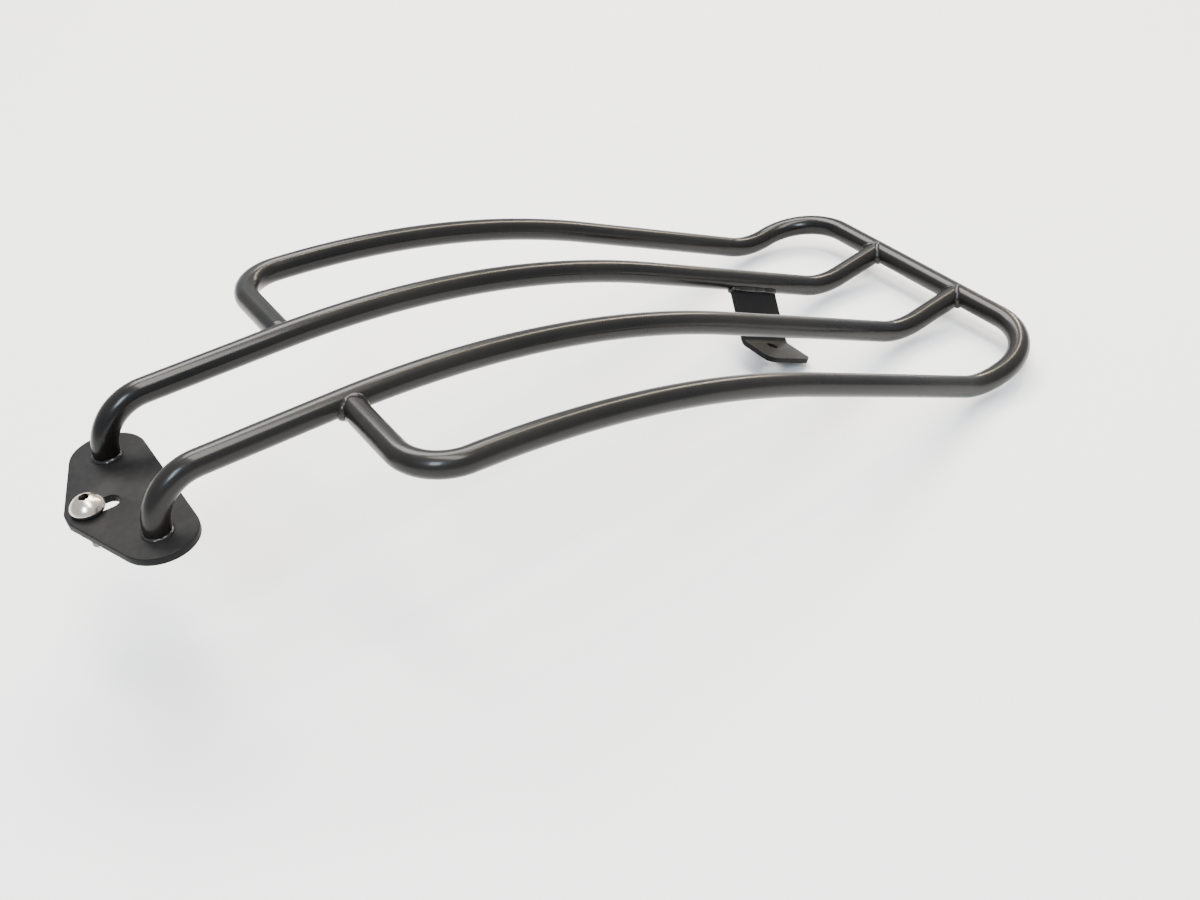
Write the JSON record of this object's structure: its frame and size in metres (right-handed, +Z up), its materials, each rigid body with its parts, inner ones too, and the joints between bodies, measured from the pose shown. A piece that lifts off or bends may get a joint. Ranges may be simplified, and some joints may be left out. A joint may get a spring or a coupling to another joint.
{
  "type": "motorcycle fender luggage rack",
  "caption": "Low tubular luggage rack for a motorcycle's rear fender: bent rails and an outer hoop, welded, with a slotted front plate and a rear support strap.",
  "frame": {"origin": "on the axis of the front mounting screw at its rest place, at the underside of the front plate", "axes": "+X to the rear of the vehicle along the rails, +Y to the vehicle's right, +Z up and square to the front plate"},
  "size_m": [0.529, 0.2226, 0.1246],
  "materials": {
    "tube_coat": "semi-gloss black powder coat",
    "plate_coat": "satin black powder coat",
    "weld_coat": "semi-gloss black powder coat over weld bead",
    "stainless": "polished stainless steel",
    "washer_coat": "dark zinc"
  },
  "bodies": {
    "rack": {"left_rail": "tube_coat", "right_rail": "tube_coat", "outer_hoop": "tube_coat", "front_plate": "plate_coat", "rear_support_strap": "plate_coat", "left_foot_weld": "weld_coat", "right_foot_weld": "weld_coat", "left_hoop_weld": "weld_coat", "right_hoop_weld": "weld_coat", "left_crossbar_weld": "weld_coat", "right_crossbar_weld": "weld_coat", "strap_weld": "weld_coat"},
    "screw": {"mounting_screw": "stainless", "screw_washer": "washer_coat"}
  },
  "joints": [
    {"name": "screw_slide", "type": "slide", "parent": "rack", "child": "screw", "axis": [1, 0, 0], "range_m": [0, 0.0095]}
  ]
}
